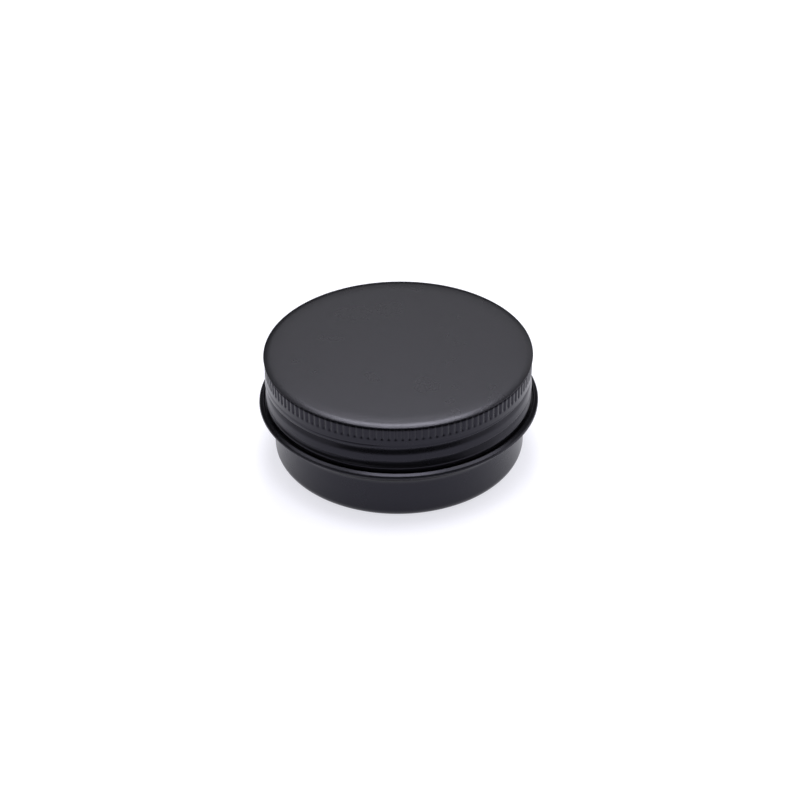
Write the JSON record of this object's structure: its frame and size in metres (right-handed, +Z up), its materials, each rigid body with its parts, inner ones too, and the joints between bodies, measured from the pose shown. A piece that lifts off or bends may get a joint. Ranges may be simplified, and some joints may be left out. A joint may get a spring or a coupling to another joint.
{
  "type": "screw-top candle tin",
  "caption": "Round shallow screw-top tin in matte black coated aluminium, with a knurled lid, a beaded can and a foam liner, for candles, balms or samples.",
  "frame": {"origin": "middle of the underside of the tin, on its axis", "axes": "+Z up along the screw axis, through the lid; -Y is the front of the tin"},
  "size_m": [0.052, 0.052, 0.021],
  "materials": {
    "can_coating": "matte",
    "lid_coating": "matte",
    "liner_foam": "matte"
  },
  "bodies": {
    "can": {"can": "can_coating"},
    "liner": {"liner": "liner_foam"},
    "lid": {"lid": "lid_coating"}
  },
  "joints": [
    {"name": "lid_rise", "type": "slide", "parent": "can", "child": "liner", "axis": [0, 0, 1], "range_m": [0, 0.0097]},
    {"name": "lid_turn", "type": "hinge", "parent": "liner", "child": "lid", "pos_m": [0, 0, 0.01127], "axis": [0, 0, 1], "range_deg": [0, 1260]}
  ],
  "couplings": [
    {"joint": "lid_rise", "follows": "lid_turn", "m_per_rad": 0.00043768}
  ]
}
